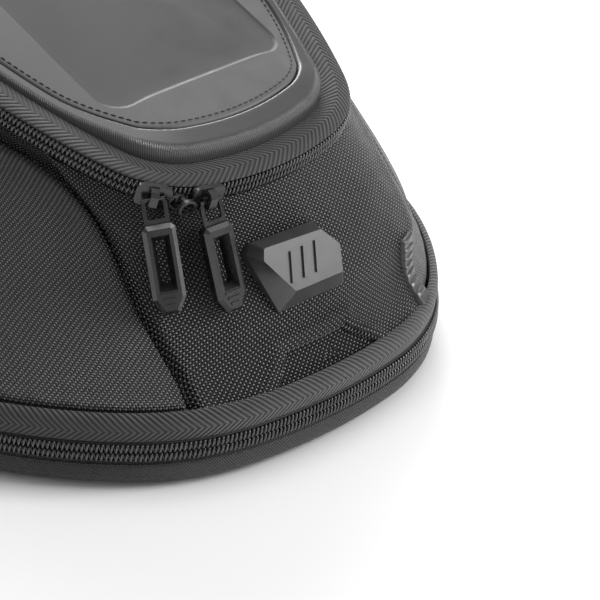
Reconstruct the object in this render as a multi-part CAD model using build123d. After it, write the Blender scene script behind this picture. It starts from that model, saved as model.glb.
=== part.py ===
"""Expandable motorcycle tank bag with a zipped lid, on a quick-release ring under its floor.

Millimetres, +Z up, the rider's end towards -Y. The origin is on the ground under the middle of the bag.
Lengths along Y are first laid out from the rider's end and moved to the origin when a piece is written.
"""
import os
from math import cos, radians, sin, tan

from build123d import *

# ---- plan outlines: half of each, from the middle of the rider's end, as (arc radius, turn in degrees).
# The arc that closes an outline at the far end follows from the others.
BASE = [(226, 9), (92, 34), (170, 44), (500, 10), (90, 55)]
LID = [(132, 14.5), (41.5, 51.5), (300, 14), (350, 15), (60, 60)]
ORIGIN_Y = 165.0            # rider's end to the origin

# ---- heights and the lid's plane
LID_TILT = 18.4             # the lid rises towards the windscreen
LID_Y, LID_Z = 37.3, 99.9   # rider's end of the lid's zip
BINDING_FOOT = 2.0
ZIP_FOOT, ZIP_SPLIT, ZIP_TOP = 12.5, 16.1, 19.7
BAND_TOP = 31.2
GAP = 0.4                   # half the gap that is left where two bodies meet

# ---- walls
WALL = 4.0                  # fabric over foam
LINING = 1.0
FOOT_OFFSET, TOP_OFFSET = -2.0, 1.0
WAIST, WAIST_SKEW = 9.4, 0.6
ROW_DEPTH = 4.0             # half of a zip chain with its tape
COIL = 1.6                  # how far the coil stands out of its tape
TAPE = 0.8

# ---- floor
VAULT_RADIUS = 634.0        # the floor is a shallow dome that clears the tank
VAULT_APEX = 23.5
PLATE = 3.5
MIDDLE_Y = 160.0            # centre of the dome and of the ring adapter
GUSSET_FOOT = 14.0
COVER_RADIUS = 71.5         # loose cover over the heads of the adapter's screws

# ---- ring adapter
ADAPTER_RADIUS, BORE_RADIUS, ADAPTER_FOOT = 75.0, 46.0, 7.0
SCREW_CIRCLE, SCREW_RADIUS, SCREW_HEAD = 61.0, 2.0, 4.2
RING_TOP = VAULT_APEX + PLATE + 2.4     # backing ring, inside the floor
SCREW_TOP = RING_TOP + 2.6
POCKET_IN, POCKET_OUT = 50.0, 70.0      # the lock's pocket, from the ring's axis
POCKET_WIDTH, POCKET_LOW, POCKET_HIGH = 30.0, 9.6, 15.6

# ---- zip sliders
SLIDER_HEADING = {"left": 41.6, "right": 14.4}   # where they stop on the left half of the lid's outline
PIVOT_OUT = 4.8             # pull axis, outwards from the zip line
WEB = 0.4                   # web of a slider, between the two rows of its zip
PULL_SWING = {"left": 31.5, "right": 35.0}       # how far a hanging pull stands off the lid's normal
PULL_LEAN = {"left": 21.0, "right": 10.0}        # and how far it hangs towards the middle
GRIP_LENGTH, GRIP_WIDTH, GRIP_DEPTH = 34.0, 12.5, 6.0
LINK_LENGTH, LINK_DEPTH, LINK_BAR = 11.7, 1.2, 0.7
EYE_RADIUS = 2.6            # padlock eyes
EXPANSION_BAR = 5.0         # pull axis of the expansion slider, outwards from its zip

# ---- lid
HINGE_IN = 9.0              # hinge line, in from the far end of the lid's outline
ZIP_END = 222.0             # the zip stops here along the lid
LID_CREST = 9.5
CENTRE_OFFSET = -19.5       # edge of the lid's centre panel, from the zip line


def mix(a, b, share):
    """A value the given share of the way from a to b."""
    return a + (b - a) * share


def ring_arcs(half):
    """Every arc of a whole outline, anticlockwise from the rider's end, as (x, y, radius, start, sweep)."""
    x = y = heading = 0.0
    right = []
    turned = sum(turn for _, turn in half)
    for radius, turn in half + [(None, 180.0 - turned)]:
        if radius is None:
            radius = x / sin(radians(turn))
        middle = (x - radius * sin(radians(heading)), y + radius * cos(radians(heading)))
        right.append((middle[0], middle[1], radius, heading - 90.0, turn))
        heading += turn
        x = middle[0] + radius * sin(radians(heading))
        y = middle[1] - radius * cos(radians(heading))
    nose = right[0]
    tail = right[-1]
    sides = right[1:-1]
    whole = [(0.0, nose[1], nose[2], -90.0 - nose[4], 2 * nose[4])]
    whole += sides
    whole.append((0.0, tail[1], tail[2], tail[3], 2 * tail[4]))
    whole += [(-x, y, radius, 180.0 - start - sweep, sweep) for x, y, radius, start, sweep in reversed(sides)]
    return whole


def outline(half, offset=0.0, plane=Plane.XY):
    """The closed outline, moved outwards by offset, on a plane."""
    arcs = [CenterArc((x, y), radius + offset, start, sweep) for x, y, radius, start, sweep in ring_arcs(half)]
    return plane.location * Wire(arcs)


def length_of(half):
    """Distance between the two ends of an outline."""
    tail = ring_arcs(half)[len(half)]
    return tail[1] + tail[2]


def lid_plane(height=0.0):
    """The plane of the lid's zip, raised along its normal."""
    tilt = radians(LID_TILT)
    up = (0.0, -sin(tilt), cos(tilt))
    return Plane((0.0, LID_Y + up[1] * height, LID_Z + up[2] * height), x_dir=(1, 0, 0), z_dir=up)


def level(height):
    return Plane.XY.offset(height)


def slab(half, offset, low, high, plane_at):
    """A solid plate with the outline's shape between two heights."""
    return extrude(make_face(outline(half, offset, plane_at(low))), high - low, dir=plane_at(low).z_dir)


def band(half, inner, outer, low, high, plane_at=level):
    """A closed band that follows the outline."""
    return slab(half, outer, low, high, plane_at) - slab(half, inner, low - 1.0, high + 1.0, plane_at)


def stack(half, steps, plane_at):
    """A solid through outlines given as (offset, height) steps."""
    return Solid.make_loft([outline(half, offset, plane_at(height)) for offset, height in steps], True)


def group(pieces):
    """Separate solids as one shape."""
    whole = pieces[0]
    for piece in pieces[1:]:
        whole += piece
    return whole


def vault(height):
    """The ball whose top is the dome of the floor, raised by height. Its poles are kept off the dome."""
    return Pos(0, MIDDLE_Y, VAULT_APEX - VAULT_RADIUS) * Rot(90, 0, 0) * Sphere(VAULT_RADIUS + height)


# ---- the wall between the band and the lid

def wall_half(share):
    """The half outline of the wall at a share of its height."""
    return [(mix(a[0], b[0], share), mix(a[1], b[1], share)) for a, b in zip(BASE, LID)]


def wall_offset(share):
    """The wall is drawn in between foot and top."""
    waist = WAIST * 4 * share * (1 - share) * (1 + WAIST_SKEW * (0.5 - share))
    return mix(FOOT_OFFSET, TOP_OFFSET, share) - waist


def wall_plane(share):
    top = lid_plane(-ROW_DEPTH - 0.2).origin
    tilt = radians(LID_TILT * share)
    origin = (0.0, top.Y * share, mix(BAND_TOP + 0.1, top.Z, share))
    return Plane(origin, x_dir=(1, 0, 0), z_dir=(0.0, -sin(tilt), cos(tilt)))


def wall_block(inwards=0.0):
    """The solid inside the wall's outer face, or inside a face further in."""
    shares = (0.0, 0.25, 0.5, 0.75, 1.0)
    return Solid.make_loft([outline(wall_half(s), wall_offset(s) - inwards, wall_plane(s)) for s in shares])


def wall_shell(outer, inner):
    return wall_block(outer) - wall_block(inner)


def wall_point(share, heading, out=0.0):
    """A point on the right half of the wall's outer face, where the outline heads the given way."""
    turned = 0.0
    for x, y, radius, start, sweep in ring_arcs(wall_half(share))[:len(BASE) + 1]:
        turned = start + sweep + 90.0
        if heading <= turned:
            break
    reach = radius + wall_offset(share) + out
    local = Vector(x + reach * sin(radians(heading)), y - reach * cos(radians(heading)), 0)
    return wall_plane(share).from_local_coords(local)


def wall_frame(share, heading, out=0.0):
    """A plane on the wall: X along the outline, Y up the wall, Z outwards."""
    step = 0.02
    up = wall_point(share + step, heading) - wall_point(share - step, heading)
    along = wall_point(share, heading + 1.0) - wall_point(share, heading - 1.0)
    normal = along.cross(up).normalized()
    return Plane(wall_point(share, heading) + normal * out, x_dir=along, z_dir=normal)


def side_region():
    """Everything beside the seams of the two side panels, seen from the side."""
    slope = tan(radians(LID_TILT))
    yoke = 8.0
    front, rear = 86.0, 240.0
    points = [(13, BAND_TOP - 1), (front, LID_Z + (front - LID_Y) * slope - yoke),
              (rear, LID_Z + (rear - LID_Y) * slope - yoke), (278, BAND_TOP - 1)]
    face = make_face(Polyline([(0, y, z) for y, z in points], close=True))
    return extrude(face, 200, dir=(1, 0, 0), both=True)


def rear_region():
    """Everything towards the windscreen of the rear seams."""
    points = [(278, BAND_TOP - 1), (240, 200), (400, 200), (400, BAND_TOP - 1)]
    face = make_face(Polyline([(0, y, z) for y, z in points], close=True))
    return extrude(face, 200, dir=(1, 0, 0), both=True)


def wall_panels():
    """The fabric-covered foam panels that are sewn into the wall."""
    shell = wall_shell(0.0, WALL)
    side = side_region()
    rear = rear_region()
    right_half = Pos(200, 150, 100) * Box(400, 400, 400)
    sides = (shell & side) - rear
    front = shell - side - rear
    return {
        "front_panel": front,
        "left_side_panel": sides - right_half,
        "right_side_panel": sides & right_half,
        "rear_panel": shell & rear,
        "wall_lining": wall_shell(WALL + 0.1, WALL + 0.1 + LINING),
    }


# ---- floor and ring adapter

def floor_pieces():
    edge = -5.3
    plate = slab(BASE, edge, 0.0, 40.0, level) & (vault(PLATE) - vault(0.0))
    mat = slab(BASE, edge - 4.6, 0.0, 60.0, level) & (vault(PLATE + 6.0) - vault(PLATE + 0.1))
    mat -= Pos(0, MIDDLE_Y, 0) * Cylinder(COVER_RADIUS + 0.5, 100)
    binding = band(BASE, -2.9, 0.0, BINDING_FOOT, ZIP_FOOT - 0.2)
    low_edges = binding.edges().group_by(Axis.Z)[0].filter_by(lambda e: e.radius > 85.0)
    outer_edges = [edge for edge in low_edges if is_outer(edge)]
    return {
        "base_plate": plate,
        "floor_mat": mat,
        "mat_cover": Pos(0, MIDDLE_Y, SCREW_TOP + 1.5) * Cylinder(COVER_RADIUS, 2.9),
        "base_rim": band(BASE, -5.2, -3.0, BINDING_FOOT + 0.5, ZIP_SPLIT - GAP),
        "lower_binding": fillet(outer_edges, 2.4),
        "expansion_gusset": band(BASE, -8.8, -5.8, GUSSET_FOOT, BAND_TOP - 0.4),
    }


def is_outer(edge):
    """True for an edge of the base's own outline, rather than of one moved inwards."""
    return any(abs(edge.radius - arc[2]) < 0.01 for arc in ring_arcs(BASE))


def anti_slip_pads():
    """Six pads under the rim of the floor."""
    ring = band(BASE, -26.0, -10.0, 0.0, 20.0) & vault(0.0)
    pads = []
    for bearing in (38, 90, 142, 218, 270, 322):
        wedge = Pos(0, MIDDLE_Y, 10) * Rot(0, 0, bearing - 90) * Pos(120, 0, 0) * Box(200, 34, 24)
        pads += (ring & wedge).solids()
    return group(pads)


def on_circle(radius, bearings):
    return [Pos(radius * cos(radians(b)), MIDDLE_Y + radius * sin(radians(b)), 0) for b in bearings]


SCREW_BEARINGS = (45, 135, 225, 315)
MAGNET_BEARINGS = (0, 180)


def ring_adapter():
    """The ring that clips over the ring on the tank, with a pocket for its lock."""
    tall = Cylinder(ADAPTER_RADIUS, 40, align=(Align.CENTER, Align.CENTER, Align.MIN))
    bore = Cylinder(BORE_RADIUS, 60)
    body = (Pos(0, MIDDLE_Y, ADAPTER_FOOT) * tall & vault(0.0)) - Pos(0, MIDDLE_Y, 20) * bore
    depth = POCKET_OUT - POCKET_IN
    height = POCKET_HIGH - POCKET_LOW
    centre_z = (POCKET_HIGH + POCKET_LOW) / 2
    body -= Pos(0, MIDDLE_Y - (POCKET_IN + POCKET_OUT) / 2, centre_z) * Box(POCKET_WIDTH, depth, height)
    body -= Pos(0, MIDDLE_Y - 48, centre_z) * Box(14.6, 10, 4.6)
    body -= Pos(0, MIDDLE_Y, centre_z) * Cylinder(BORE_RADIUS + 2.0, 4.6)
    body -= Pos(0, MIDDLE_Y - 73, centre_z) * Box(20.8, 10, 3.4)
    for place in on_circle(SCREW_CIRCLE, SCREW_BEARINGS):
        body -= place * Pos(0, 0, 19) * Cylinder(SCREW_RADIUS, 14)
    for place in on_circle(SCREW_CIRCLE, MAGNET_BEARINGS):
        body -= place * Pos(0, 0, ADAPTER_FOOT + 2) * Cylinder(6, 4)
    return body


def adapter_fasteners():
    """The backing ring inside the floor and the screws through it."""
    washer = Cylinder(69, 10) - Cylinder(53, 12)
    ring = Pos(0, MIDDLE_Y, RING_TOP - 5) * washer - vault(PLATE + 0.02)
    screws = []
    for place in on_circle(SCREW_CIRCLE, SCREW_BEARINGS):
        ring -= place * Pos(0, 0, RING_TOP - 6) * Cylinder(SCREW_RADIUS + 0.2, 14)
        head = Pos(0, 0, (RING_TOP + SCREW_TOP) / 2) * Cylinder(SCREW_HEAD, SCREW_TOP - RING_TOP)
        socket = Pos(0, 0, RING_TOP + 1.2) * extrude(RegularPolygon(1.5, 6), 2)
        shank = Pos(0, 0, RING_TOP - 8.4) * Cylinder(SCREW_RADIUS - 0.01, 17)
        screws += [place * (head + shank - socket)]
    magnets = [place * Pos(0, 0, ADAPTER_FOOT + 1.98) * Cylinder(5.98, 3.9)
               for place in on_circle(SCREW_CIRCLE, MAGNET_BEARINGS)]
    return ring, group(screws), group(magnets)


def lock_pieces():
    """The sprung bolt that holds the tank's ring, its two springs and the strap that pulls it."""
    centre_z = (POCKET_HIGH + POCKET_LOW) / 2
    tongue = Pos(0, MIDDLE_Y - 47.2, centre_z) * Box(14, 10, 4)
    shoulder = Pos(0, MIDDLE_Y - 53.7, centre_z) * Box(29.2, 6.8, 5.6)
    tail = Pos(0, MIDDLE_Y - 68, centre_z) * Box(9, 24, 2.8)
    crossbar = Pos(0, MIDDLE_Y - 81, centre_z) * Box(20, 3, 2.8)
    bolt = chamfer(tongue.edges().group_by(Axis.Y)[-1].group_by(Axis.Z)[0], 1.8) + shoulder + tail + crossbar
    turns, length = 7, POCKET_OUT - 57.3
    springs = []
    for x in (-10.2, 10.2):
        path = Helix(pitch=(length - 0.8) / turns, height=length - 0.8, radius=2.0)
        wire = sweep(Plane(path @ 0, z_dir=path % 0) * Circle(0.35), path=path)
        springs.append(Pos(x, MIDDLE_Y - 57.5, centre_z) * Rot(90, 0, 0) * wire)
    near, far = 82.6, 144.0
    points = [(MIDDLE_Y - near, centre_z), (MIDDLE_Y - far, 4.2)]
    run = Polyline([(0, y, z) for y, z in points])
    strap = sweep(Plane(run @ 0, x_dir=(1, 0, 0), z_dir=run % 0) * Rectangle(20, 1.6), path=run)
    return bolt, group(springs), strap


# ---- zips

def zip_row(half, low, high, plane_at, coil_inwards):
    """One side of a zip: its tape and the edge coil, which stands out of it."""
    tape = band(half, -TAPE, 0.0, low, high, plane_at)
    coil = band(half, 0.0, COIL, *coil_inwards, plane_at)
    return tape + coil


def ahead_of(y, plane_at, margin=400.0):
    """The block on the rider's side of a line across the lid."""
    return plane_at(0).location * Pos(0, y - margin / 2, 0) * Box(margin, margin, margin)


def main_zip():
    """The lid's zip, which stops short of the hinge."""
    reach = ahead_of(ZIP_END, lid_plane)
    body_row = zip_row(LID, -ROW_DEPTH, -GAP, lid_plane, (-3.5, -GAP)) & reach
    lid_row = zip_row(LID, GAP, ROW_DEPTH, lid_plane, (GAP, 3.5)) & reach
    return body_row, lid_row


def expansion_zip():
    lower = zip_row(BASE, ZIP_FOOT, ZIP_SPLIT - GAP, level, (ZIP_FOOT + 0.3, ZIP_SPLIT - GAP))
    upper = zip_row(BASE, ZIP_SPLIT + GAP, ZIP_TOP, level, (ZIP_SPLIT + GAP, ZIP_TOP - 0.3))
    return lower, upper


def slider_body(inner_side):
    """A slider in its own frame: X along the zip, Y up, Z outwards. The padlock eye is on inner_side."""
    outer = Pos(0, 0, 2.6) * Box(13.5, 9.6, 1.4)
    outer = fillet(outer.edges().filter_by(Axis.Z), 2.2)
    inner = Pos(0, 0, -2.0) * Box(12.5, 7.2, 1.2)
    web = Pos(4.6 * inner_side, 0, 0.3) * Box(2.4, WEB, 4.4)
    lips = [Pos(0, y, 1.75) * Box(9, 0.8, 0.9) for y in (-4.4, 4.4)]
    arch = [(4.4, 3.2), (4.4, 6.2), (3.0, 7.7), (-1.6, 7.7), (-3.4, 6.4), (-3.4, 5.0), (-2.2, 5.0),
            (-1.9, 6.3), (1.8, 6.3), (2.6, 5.6), (2.6, 3.2)]
    face = make_face(Polyline([(0, y, z) for y, z in arch], close=True))
    crown = extrude(face, 1.5, dir=(1, 0, 0), both=True)
    eye_out = 3.6 - 1.6 * inner_side
    eye = Pos(9.4 * inner_side, -1.6, eye_out) * (Cylinder(3.8, 1.4) - Cylinder(EYE_RADIUS, 3))
    foot, top = 1.9, eye_out + 0.6
    riser = Pos(6.1 * inner_side, -1.6, (foot + top) / 2) * Box(1.4, 2.6, top - foot)
    return group([outer, inner, web, crown, eye, riser] + lips)


def pull_link():
    """The flat link between slider and grip. It hangs along -Y from a round bar at the origin."""
    plate = Pos(0, -LINK_LENGTH / 2, 0) * Box(9.6, LINK_LENGTH, LINK_DEPTH)
    plate = fillet(plate.edges().filter_by(Axis.Z), 1.8)
    window = fillet((Pos(0, -4.0, 0) * Box(6.6, 6.8, 3)).edges().filter_by(Axis.Z), 0.8)
    return plate - window + Rot(0, 90, 0) * Cylinder(LINK_BAR, 8.4)


def pull_grip():
    """The moulded grip, tapered at its free end, with a bevelled window through it."""
    half = GRIP_WIDTH / 2
    top = -LINK_LENGTH + 2.4
    end = top - GRIP_LENGTH
    points = [(-half, top - 1.5), (-half + 1.5, top), (half - 1.5, top), (half, top - 1.5),
              (half, end + 6), (half - 3.2, end), (-half + 3.2, end), (-half, end + 6)]
    flat = make_face(Polyline([(x, y, 0) for x, y in points], close=True))
    grip = extrude(flat, GRIP_DEPTH / 2, both=True)
    grip = chamfer(grip.edges().group_by(Axis.Z)[-1], 1.5)
    grip = chamfer(grip.edges().group_by(Axis.Z)[0], 0.8)
    centre = Pos(0, top - 14.5, 0)
    through = Box(3.6, 17, 20)
    mouth = loft([Pos(0, 0, -0.6) * Rectangle(3.6, 17), Pos(0, 0, GRIP_DEPTH / 2) * Rectangle(6.8, 21)])
    socket = Pos(0, top, 0) * Box(9.7, 4.9, LINK_DEPTH + 0.1)
    ridges = []
    for step in range(3):
        ridges.append(Pos(0, end + 3.6 + 2.2 * step, GRIP_DEPTH / 2) * Box(3.4 + 1.6 * step, 0.9, 0.9))
    return group([grip - centre * through - centre * mouth - socket] + ridges)


def slider_plane(side):
    """Where a lid slider sits: X along the zip, Y along the lid's normal, Z outwards."""
    heading = SLIDER_HEADING[side]
    x, y, radius, _, _ = ring_arcs(LID)[0 if heading <= LID[0][1] else 1]
    out = Vector(-sin(radians(heading)), -cos(radians(heading)), 0)
    place = lid_plane()
    centre = Vector(-x, y, 0) + out * radius
    along = Vector(cos(radians(heading)), -sin(radians(heading)), 0)
    origin = place.from_local_coords(centre)
    x_dir = place.from_local_coords(along) - place.origin
    z_dir = place.from_local_coords(out) - place.origin
    return Plane(origin, x_dir=x_dir, z_dir=z_dir)


def lid_sliders():
    pieces = {}
    for side, inner_side in (("left", 1), ("right", -1)):
        seat = slider_plane(side).location
        pivot = seat * Pos(0, 0, PIVOT_OUT) * Rot(-PULL_SWING[side], 0, 0) * Rot(0, 0, PULL_LEAN[side])
        pieces[f"slider_{side}"] = seat * slider_body(inner_side)
        pieces[f"pull_link_{side}"] = pivot * pull_link()
        pieces[f"pull_grip_{side}"] = pivot * pull_grip()
    return pieces


def expansion_slider():
    """The slider of the expansion zip, at the windscreen end, and its cord-like pull."""
    x, y, radius, _, _ = ring_arcs(BASE)[len(BASE)]
    seat = Plane((0, y + radius, ZIP_SPLIT), x_dir=(-1, 0, 0), z_dir=(0, 1, 0)).location
    outer = fillet((Pos(0, 0, 2.5) * Box(12, 9.4, 1.2)).edges().filter_by(Axis.Z), 2)
    inner = Pos(0, 0, -1.7) * Box(11, 6, 0.8)
    web = Pos(4, 0, 0.4) * Box(2, WEB, 3.6)
    ears = Pos(2.6, 0, 4.5) * Box(1.2, 4, 3.0) + Pos(-2.6, 0, 4.5) * Box(1.2, 4, 3.0)
    bar = Pos(0, 0, EXPANSION_BAR) * Rot(0, 90, 0) * Cylinder(0.7, 6)
    eye = Rot(0, 90, 0) * (Cylinder(1.7, 2.6) - Cylinder(0.9, 4))
    tab = fillet((Pos(0, -9.0, 0) * Box(5, 12, 1.4)).edges().filter_by(Axis.Z), 1.2)
    neck = Pos(0, -2.4, 0) * Box(2.6, 2.4, 1.4)
    pull = Pos(0, 0, EXPANSION_BAR) * (eye + tab + neck)
    return seat * (outer + inner + web + ears + bar), seat * pull


# ---- lid

def lid_pieces():
    """The moulded lid with its bound edge, lining and mesh pocket, all ahead of the hinge."""
    hinge_y = length_of(LID) - HINGE_IN
    reach = ahead_of(hinge_y - 1.2, lid_plane)
    binding_edge, edge_height = -10.4, 6.4
    binding = stack(LID, [(0.6, 4.1), (binding_edge, edge_height)], lid_plane)
    binding -= stack(LID, [(-5.2, 4.1), (binding_edge, edge_height - 1.2)], lid_plane)
    binding -= slab(LID, binding_edge, 0.0, 40.0, lid_plane)
    foot = (binding_edge - 0.2, edge_height - 1.0)
    outer = stack(LID, [foot, (-13.8, LID_CREST), (CENTRE_OFFSET - 1, LID_CREST + 1.3)], lid_plane)
    inner = stack(LID, [(-13.2, foot[1]), (-15.6, LID_CREST - 2), (CENTRE_OFFSET - 1, LID_CREST - 1.2)], lid_plane)
    panel_hole = slab(LID, CENTRE_OFFSET, 0.0, 40.0, lid_plane)
    pocket_y = 62.0
    pocket = slab(LID, -18.0, 0.6, 1.4, lid_plane) & ahead_of(pocket_y - 4.2, lid_plane)
    pocket += slab(LID, -18.0, 0.6, 1.4, lid_plane) - ahead_of(pocket_y + 4.2, lid_plane)
    lid = lid_plane(0).location
    chain = lid * Pos(0, pocket_y, 0.9) * Box(112, 8, 1.4)
    tab = lid * Pos(-44, pocket_y, -0.7) * Box(9, 7, 1.2)
    pull = lid * Pos(-34.4, pocket_y, -0.6) * fillet(Box(10, 4, 1.2).edges().filter_by(Axis.Z), 1.4)
    pieces = {
        "lid_binding": binding,
        "lid_shell": (outer - inner) - panel_hole,
        "lid_centre_panel": slab(LID, CENTRE_OFFSET - 0.2, LID_CREST - 0.6, LID_CREST + 1.2, lid_plane),
        "lid_lining": slab(LID, -4.0, 2.6, 3.6, lid_plane) & ahead_of(hinge_y - 4.0, lid_plane),
        "lid_skirt": band(LID, -TAPE, 0.6, GAP, ROW_DEPTH, lid_plane) - ahead_of(ZIP_END + 0.2, lid_plane),
        "mesh_pocket": pocket,
        "pocket_zip": chain,
    }
    pieces = {name: solid & reach for name, solid in pieces.items()}
    return pieces | {"pocket_slider": tab, "pocket_pull": pull}


def hinge_strip():
    """The fabric hinge across the far end of the lid, and the edges that reach from it to the zip."""
    strip = slab(LID, 1.0, -2.0, -GAP, lid_plane) - ahead_of(length_of(LID) - HINGE_IN, lid_plane)
    edges = band(LID, -TAPE, 0.6, -ROW_DEPTH, -GAP, lid_plane) - ahead_of(ZIP_END + 0.2, lid_plane)
    return strip + edges


def zip_garages():
    """The tabs that cover the two ends of the lid's zip."""
    cover = band(LID, 1.8, 3.2, -5.5, -0.5, lid_plane) - wall_block()
    cover = (cover & ahead_of(ZIP_END + 12, lid_plane)) - ahead_of(ZIP_END - 4, lid_plane)
    return sorted(cover.solids(), key=lambda solid: solid.center().X)


# ---- trim on the wall

BADGE_BASE = [(-17, 12.5), (15, 11), (24.5, 0), (23, -16.5), (-12, -16.5), (-20.5, 8.5)]
BADGE_TOP = [(-16.5, 10.2), (13, 8.2), (20.5, 0), (18.5, -10.5), (-6.6, -9.9), (-18, 5.7)]
BADGE_RISE = 7.0


def faceted(points, round_off=1.2):
    """A flat polygon with slightly rounded corners."""
    face = make_face(Polyline([(x, y, 0) for x, y in points], close=True))
    return fillet(face.vertices(), round_off)


def badge():
    """A faceted rubber plate with a plain motif of slanted bars, seated on the wall."""
    place = wall_frame(0.5, 0.0, 2.0).location
    foot, top = (faceted(points) for points in (BADGE_BASE, BADGE_TOP))
    block = Pos(0, 0, -4.0) * extrude(foot, 4.6)
    block += loft([Pos(0, 0, 0.6) * foot, Pos(0, 0, BADGE_RISE) * top], ruled=True)
    for x in (-5.0, 1.5, 8.0):
        block += Pos(x, -0.8, BADGE_RISE + 0.2) * Rot(0, 0, -14) * Box(2.8, 12, 1.2)
    return place * block - wall_block()


def side_label():
    """A ribbed rubber label on the right flank."""
    place = wall_frame(0.2, 28.0, 0.0).location
    plate = fillet(Box(9, 24, 6).edges().filter_by(Axis.Z), 1.5)
    label = place * Pos(0, 0, -1.4) * plate
    for step in range(7):
        label += place * Pos(0, -9 + 3 * step, 1.6) * Box(6, 1.3, 1.2)
    return label - wall_block()


def handle():
    """A carrying handle on the rear wall, hanging from two anchors."""
    frame = wall_frame(0.66, 180.0, 5.0).location
    reach, drop = 44.0, 34.0
    legs = []
    anchors = []
    for x in (-reach, reach):
        legs.append(Pos(x, -drop / 2, 0) * Box(10, drop, 2.4))
        legs.append(Pos(x, 0, 0) * Rot(0, 90, 0) * Cylinder(2.4, 10))
        block = Pos(x, 0, -9.7) * Box(19, 12, 14.4) + Pos(x - 7.5, 0, 0) * Box(3, 9, 6)
        block += Pos(x + 7.5, 0, 0) * Box(3, 9, 6)
        pin = Pos(x, 0, 0) * Rot(0, 90, 0) * Cylinder(1.2, 18)
        anchors.append(block + pin)
    strap = legs[0] + legs[1] + legs[2] + legs[3] + Pos(0, -drop, 0) * Box(2 * reach + 10, 10, 2.4)
    for x in (-reach, reach):
        strap -= Pos(x, 0, 0) * Rot(0, 90, 0) * Cylinder(1.25, 14)
    grip = Pos(0, -drop, 0) * fillet(Box(64, 14, 5.6).edges().filter_by(Axis.X), 2.4)
    grip -= Pos(0, -drop, 0) * Box(70, 10.02, 2.42)
    outside = wall_block()
    return frame * strap, frame * grip, group([frame * anchor - outside for anchor in anchors])


def cable_port():
    """A rubber grommet with closed lips, for a charging cable."""
    place = wall_frame(0.26, 180.0).location
    flange = fillet(Box(42, 20, 12).edges().filter_by(Axis.Z), 8)
    port = place * Pos(0, 0, -4) * flange
    for y in (-1.6, 1.6):
        port += place * Pos(0, y, 2.4) * Box(26, 2.2, 1.6)
    return port - wall_block()


def build():
    parts = wall_panels() | floor_pieces() | lid_sliders() | lid_pieces()
    parts["anti_slip_pads"] = anti_slip_pads()
    parts["ring_adapter"] = ring_adapter()
    parts["backing_ring"], parts["adapter_screws"], parts["guide_magnets"] = adapter_fasteners()
    for place in on_circle(SCREW_CIRCLE, SCREW_BEARINGS):
        parts["base_plate"] -= place * Pos(0, 0, 26) * Cylinder(SCREW_RADIUS + 0.2, 40)
    parts["lock_bolt"], parts["lock_springs"], parts["release_strap"] = lock_pieces()
    parts["expansion_zip_lower"], parts["expansion_zip_upper"] = expansion_zip()
    parts["upper_binding"] = band(BASE, -2.5, 0.4, ZIP_TOP + 0.2, BAND_TOP)
    parts["main_zip_body_row"], parts["main_zip_lid_row"] = main_zip()
    parts["expansion_slider"], parts["expansion_pull"] = expansion_slider()
    parts["hinge_strip"] = hinge_strip()
    parts["zip_garage_left"], parts["zip_garage_right"] = zip_garages()
    parts["badge"] = badge()
    parts["side_label"] = side_label()
    parts["handle_strap"], parts["handle_grip"], parts["handle_anchors"] = handle()
    parts["cable_port"] = cable_port()
    return parts


def main():
    os.makedirs("parts", exist_ok=True)
    for name, solid in build().items():
        export_step(Pos(0, -ORIGIN_Y, 0) * solid, f"parts/{name}.step")


main()
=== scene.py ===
from math import cos, pi, radians, sin

import bmesh
import bpy
import numpy as np
from mathutils import Matrix, Vector


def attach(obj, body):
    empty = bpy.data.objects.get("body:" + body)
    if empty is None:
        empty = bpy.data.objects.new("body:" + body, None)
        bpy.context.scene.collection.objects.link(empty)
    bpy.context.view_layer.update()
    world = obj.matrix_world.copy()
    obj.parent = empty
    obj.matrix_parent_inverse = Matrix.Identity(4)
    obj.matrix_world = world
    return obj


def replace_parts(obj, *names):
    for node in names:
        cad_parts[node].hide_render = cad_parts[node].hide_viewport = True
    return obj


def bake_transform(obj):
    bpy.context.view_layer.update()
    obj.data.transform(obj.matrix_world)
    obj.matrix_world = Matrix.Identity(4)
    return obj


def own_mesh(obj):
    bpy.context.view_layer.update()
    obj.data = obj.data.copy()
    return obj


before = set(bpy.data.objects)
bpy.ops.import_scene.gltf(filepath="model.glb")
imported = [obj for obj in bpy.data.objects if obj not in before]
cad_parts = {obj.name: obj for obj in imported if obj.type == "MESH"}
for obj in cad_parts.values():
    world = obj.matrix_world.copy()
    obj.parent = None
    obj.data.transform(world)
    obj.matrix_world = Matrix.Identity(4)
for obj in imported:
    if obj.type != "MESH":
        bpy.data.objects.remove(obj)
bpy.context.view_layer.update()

# ---- the CAD's driving values
BASE = [(226, 9), (92, 34), (170, 44), (500, 10), (90, 55)]
LID = [(132, 14.5), (41.5, 51.5), (300, 14), (350, 15), (60, 60)]
ORIGIN_Y = 165.0
LID_TILT, LID_Y, LID_Z = 18.4, 37.3, 99.9
ZIP_FOOT, ZIP_SPLIT, ZIP_TOP, BAND_TOP = 12.5, 16.1, 19.7, 31.2
GAP = 0.4
FOOT_OFFSET, TOP_OFFSET = -2.0, 1.0
WAIST, WAIST_SKEW = 9.4, 0.6
WALL, WALL_RISE = 4.0, 95.0
VAULT_RADIUS, VAULT_APEX, PLATE, MIDDLE_Y = 634.0, 23.5, 3.5, 160.0
COVER_RADIUS, COVER_Z = 71.5, 33.5
HINGE_IN, ZIP_END = 9.0, 222.0
GUSSET_FOOT = 14.0
POCKET_Y = 62.0
LOCK_Z, STRAP_NEAR, STRAP_FAR, STRAP_END_Z = 12.6, 82.6, 144.0, 4.2

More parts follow.
